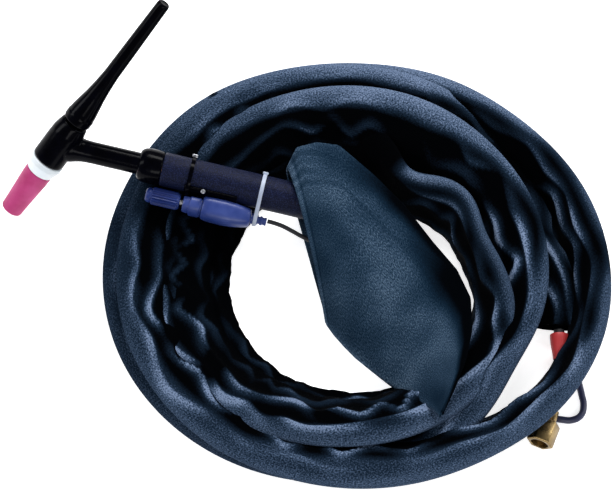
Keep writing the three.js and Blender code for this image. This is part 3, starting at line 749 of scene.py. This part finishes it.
def makeMouth():
    bm = bmesh.new()
    bmesh.ops.create_grid(bm, x_segments=mouth["rows"], y_segments=mouth["around"], size=1, calc_uvs=True)
    layer = bm.loops.layers.uv.verify()
    paintedShading = bm.verts.layers.float.new("paintedShading")
    for face in bm.faces:
        for loop in face.loops:
            u, v = (loop.vert.co.x + 1) / 2, (loop.vert.co.y + 1) / 2
            loop[layer].uv = (u * mouth["flat"][1], v * mouth["flat"][0])
    for vert in bm.verts:
        vert.co, vert[paintedShading] = mouthPoint((vert.co.x + 1) / 2, (vert.co.y + 1) / 2)
    bmesh.ops.remove_doubles(bm, verts=bm.verts, dist=1e-6)
    bmesh.ops.recalc_face_normals(bm, faces=bm.faces)
    area = sum(face.calc_area() for face in bm.faces)
    piece = addPiece("coverMouth", bm, "mouthCloth", "torch", ("cover_mouth",), 180)
    wall = piece.modifiers.new("wall", "SOLIDIFY")
    wall.thickness = mouth["clothThickness"] * mm
    wall.offset = -1
    settle(piece)
    print(f"mouth cloth is {area:.4f} square metres")
    stitches = makeStitches()


def makeStitches():
    # a row of thread along the upper side of the hem, each stitch a small bead pulled long
    along, count = mouth["hem"] - 0.004, mouth["stitches"]
    start, end = mouth["stitched"]
    size = Matrix.Diagonal((*(half * mm for half in mouth["stitchSize"]), 1))
    bm = bmesh.new()
    for k in range(count):
        spot = start + (end - start) * (k + 0.5) / count
        here, _ = mouthPoint(along, spot)
        ahead, _ = mouthPoint(along, spot + 0.002)
        beside, _ = mouthPoint(along + 0.004, spot)
        up = (ahead - here).cross(beside - here)
        if up.z < 0:
            up = -up
        place = basis(here + up.normalized() * 0.25 * mm, ahead - here, up)
        bmesh.ops.create_icosphere(bm, subdivisions=2, radius=1, matrix=place @ size)
    return addPiece("hemStitches", bm, "thread", "torch", (), 180)


makeMouth()
print("mouth ready")


# turned shapes, as radius and height in millimetres from the middle of the head
head = {
    "moulding": [
        (0, -18.2), (15.3, -18.2), (15.8, -16.5), (15.8, 6), (15.5, 16), (14.4, 22), (13.4, 26.5),
        (12.6, 28.5), (0, 28.5),
    ],
    "neck": [(0, 4), (14.2, 4), (13.4, 13), (11.6, 19), (10.6, 24), (10.2, 32), (10.2, 97), (0, 97)],
    "insulator": [
        (8.7, -33.1), (13.3, -33.1), (13.6, -31.4), (15.7, -25.6), (16.3, -24), (16.3, -19.4),
        (15.7, -18.5), (8.7, -18.5),
    ],
    "cup": [
        (7.9, -83.6), (9.3, -83.6), (10.3, -82.2), (10.7, -74), (12.0, -56), (13.0, -42), (13.2, -36),
        (13.2, -34), (12.8, -33.4), (7.7, -33.4), (7.7, -52.4), (8.6, -54.4), (8.6, -78),
    ],
    "cap": [
        (3.7, 31), (12.5, 31), (13.4, 32.2), (13.4, 38.5), (12.9, 40), (12.6, 44), (11.2, 53), (9.6, 63),
        (8.4, 74), (7.5, 86), (7.2, 92), (6.9, 120), (6.5, 150), (6.1, 177.6), (5.6, 179.5), (3.8, 180),
        (3.3, 179.4), (0.0, 179.3), (0, 174), (3.1, 172), (3.7, 168),
    ],
    "seal": (7.4, 29.75, 0.95),     # radius, height and thickness's half
    "blend": 0.75,                  # grain of the join between head and neck
}


def makeHead():
    body = turnedMesh(eased(head["moulding"], 0.8), 72)
    stem = turnedMesh(eased(head["neck"], 0.8), 64)
    bmesh.ops.transform(stem, matrix=headFrame.inverted() @ handleFrame, verts=stem.verts)
    part = bpy.data.meshes.new("stem")
    stem.to_mesh(part)
    stem.free()
    body.from_mesh(part)
    piece = addPiece("headMoulding", body, "blackMoulding", "torch", ("torch_head",),
                     50, headFrame)
    blend = piece.modifiers.new("blend", "REMESH")
    blend.mode = "VOXEL"
    blend.voxel_size = head["blend"] * mm
    blend.use_smooth_shade = True
    soften = piece.modifiers.new("soften", "SMOOTH")
    soften.factor = 0.5
    soften.iterations = 5
    settle(piece)


def makeHeadPieces():
    makeHead()
    ring = turnedMesh(eased(head["insulator"], 0.5))
    addPiece("insulatorRing", ring, "ptfe", "cup_carrier", ("cup_insulator",),
             38, headFrame)
    cup = turnedMesh(eased(head["cup"], 0.6), 72)
    addPiece("gasCup", cup, "alumina", "cup_body", ("cup",), 38, headFrame)
    cap = turnedMesh(eased(head["cap"], 0.7), 64)
    addPiece("longCap", cap, "blackMoulding", "cap_body", ("back_cap",), 38, headFrame)
    radius, height, half = head["seal"]
    angles = [k * math.pi / 8 for k in range(16)]
    seal = turnedMesh([(radius + half * math.cos(a), height + half * math.sin(a)) for a in angles], 48)
    addPiece("capRing", seal, "blackRubber", "cap_carrier", ("cap_seal",), 60, headFrame)


handle = {
    "nose": [
        (10.5, 76), (12.2, 76), (14.2, 77.6), (15.6, 80.4), (16.3, 84), (16.4, 89), (16.1, 94),
        (15.8, 97), (15.3, 98), (10.5, 98),
    ],
    "grip": [
        (10.5, 98.3), (15.2, 98.3), (15.8, 99.6), (15.8, 264.8), (15.2, 266), (13.3, 266), (13.3, 114),
        (10.5, 110),
    ],
}


def makeHandle():
    collar = turnedMesh(eased(handle["nose"], 0.9), 72)
    addPiece("handleNose", collar, "blackMoulding", "torch", ("handle_collar",),
             38, handleFrame)
    tube = turnedMesh(eased(handle["grip"], 0.5), 96)
    addPiece("handleGrip", tube, "grip", "torch", ("handle_tube",), 38, handleFrame)


control = {
    "ribs": 20,
    "ribDepth": 0.55,
    "seat": 18.35,              # distance that the case keeps from the handle's axis
    "noseSeat": 21.3,
    "offset": 26.3,
    "squareness": 2.7,
    "roller": [
        (3.3, 96.4), (3.2, 96.2), (0, 96.2), (0, 88.6), (4.8, 88.6), (6.4, 89.8), (7.1, 92), (7.2, 93.2),
        (6.6, 94), (7.5, 95), (7.7, 97), (7.7, 118), (7.3, 120), (6.4, 121), (3.3, 121),
    ],
    "nose": [
        (3.3, 124), (7.6, 124), (8.4, 125), (8.9, 129.2), (8.6, 130), (10.3, 130.8), (10.5, 132),
        (10.5, 139), (10.2, 140), (9.6, 140.6), (9.6, 141.7), (3.3, 141.7),
    ],
    "case": [
        (0, 142), (10.0, 142), (11.0, 143), (11.9, 147), (12.2, 153), (12.4, 163), (11.8, 172),
        (10.4, 180), (9.2, 184.5), (8.2, 187), (7.0, 188), (0, 188),
    ],
    "glandRings": 3,
}


def keepOffHandle(bm, clear):
    # pushes a control piece off the handle's axis, which lies along X from the control's own
    for vert in bm.verts:
        x, y = vert.co.x / mm - control["offset"], vert.co.y / mm
        far = math.hypot(x, y)
        if far < clear:
            vert.co.x = (x * clear / far + control["offset"]) * mm
            vert.co.y = y * clear / far * mm


def squared(bm, power, start, end):
    # swells a round section towards a rounded square between two stations
    for vert in bm.verts:
        if not start * mm <= vert.co.z <= end * mm:
            continue
        angle = math.atan2(vert.co.y, vert.co.x)
        grow = (abs(math.cos(angle)) ** power + abs(math.sin(angle)) ** power) ** (-1 / power)
        vert.co.x *= grow
        vert.co.y *= grow


def makeRoller():
    roller = turnedMesh(eased(control["roller"], 0.4), control["ribs"] * 6)
    for vert in roller.verts:
        radius = math.hypot(vert.co.x, vert.co.y) / mm
        if radius > 6.9 and 94.6 * mm < vert.co.z < 119.6 * mm:
            angle = math.atan2(vert.co.y, vert.co.x)
            grow = 1 + control["ribDepth"] / radius * math.cos(control["ribs"] * angle)
            vert.co.x *= grow
            vert.co.y *= grow
    addPiece("rollerWheel", roller, "rollerBlue", "roller_body", ("roller",),
             45, controlFrame)


def makeCase():
    profile = eased(control["case"], 0.7)
    for side, name, node in ((1, "caseNear", "control_case_near"), (-1, "caseFar", "control_case_far")):
        bm = turnedMesh(profile, 96)
        squared(bm, control["squareness"], 142.5, 187)
        keepOffHandle(bm, control["seat"])
        cut = bmesh.ops.bisect_plane(bm, geom=bm.verts[:] + bm.edges[:] + bm.faces[:],
                                     plane_co=(0, side * 0.15 * mm, 0), plane_no=(0, -side, 0),
                                     clear_outer=True)
        rim = [e for e in cut["geom_cut"] if isinstance(e, bmesh.types.BMEdge)]
        bmesh.ops.holes_fill(bm, edges=rim, sides=0)
        bmesh.ops.bevel(bm, geom=rim, offset=0.3 * mm, offset_type="OFFSET", affect="EDGES", segments=1,
                        profile=0.5, material=-1, clamp_overlap=True)
        bmesh.ops.recalc_face_normals(bm, faces=bm.faces)
        addPiece(name, bm, "bluePlastic", "torch", (node,), 40, controlFrame)


def makeControlPieces():
    makeRoller()
    nose = turnedMesh(eased(control["nose"], 0.35), 72)
    keepOffHandle(nose, control["noseSeat"])
    addPiece("noseRing", nose, "bluePlastic", "torch", ("nose_collar",), 40, controlFrame)
    makeCase()
    gland = [(2.3, 188.3), (5.0, 188.3)]
    for k in range(control["glandRings"]):
        z = 188.8 + 4.1 * k
        gland += [(5.0 - 0.35 * k, z), (5.0 - 0.35 * k, z + 1.9), (3.5, z + 2.2), (3.4, z + 3.8)]
    gland += [(3.9, 201.6), (3.6, 203), (2.3, 203)]
    addPiece("cableGland", turnedMesh(eased(gland, 0.3), 48), "bluePlastic", "torch",
             ("control_gland",), 40, controlFrame)
    for node, name, finish, slot, width, flatten in (
            ("control_saddle", "controlSeat", "blackMoulding", "black_moulding", 0.5, 1),
            ("front_strap", "frontStrap", "blackMoulding", "black_moulding", 0.3, 1),
            ("front_strap_lock", "frontLock", "steel", "steel", 0.6, 0.7),
            ("rear_strap", "rearStrap", "whiteStrap", "white_strap", 0.3, 1),
            ("rear_strap_lock", "rearLock", "whiteStrap", "white_strap", 0.5, 0.5),
            ("case_screw", "caseScrew", "steel", "steel", 0.3, 1),
            ("saddle_screw", "seatScrew", "steel", "steel", 0.4, 1)):
        refined(node, name, finish, "torch", width, flatten)


makeHeadPieces()
makeHandle()
makeControlPieces()
print("torch ready")


def makeTailPieces():
    nut = refined("hose_nut", "hoseNut", "brass", "nut_body", 0.5)
    ferrule = refined("hose_ferrule", "hoseFerrule", "brass", "torch", 0.4)
    nipple = refined("hose_nipple", "hoseNipple", "brass", "torch", 0.3)
    sleeve = refined("red_sleeve", "redSleeve", "redRubber", "torch", 0.5)
    plugBody = refined("control_plug", "leadPlug", "blackMoulding", "torch", 0.5)
    plugRing = refined("control_plug_ring", "leadPlugRing", "steel", "torch", 0.4)


makeTailPieces()

# pieces that stay as they are in the frame, with their own finishes
kept = {
    "brass": ["head_insert", "cap_ferrule", "power_fitting"],
    "copper": ["neck_tube", "collet_body", "collet"],
    "steel": ["tungsten", "roller_shaft"],
    "blackRubber": ["power_cable_front", "potentiometer"],
}
for finish, nodes in kept.items():
    for node in nodes:
        for slot in frame["nodes"][node].material_slots:
            slot.material = finishes[finish]
print("tail ready")
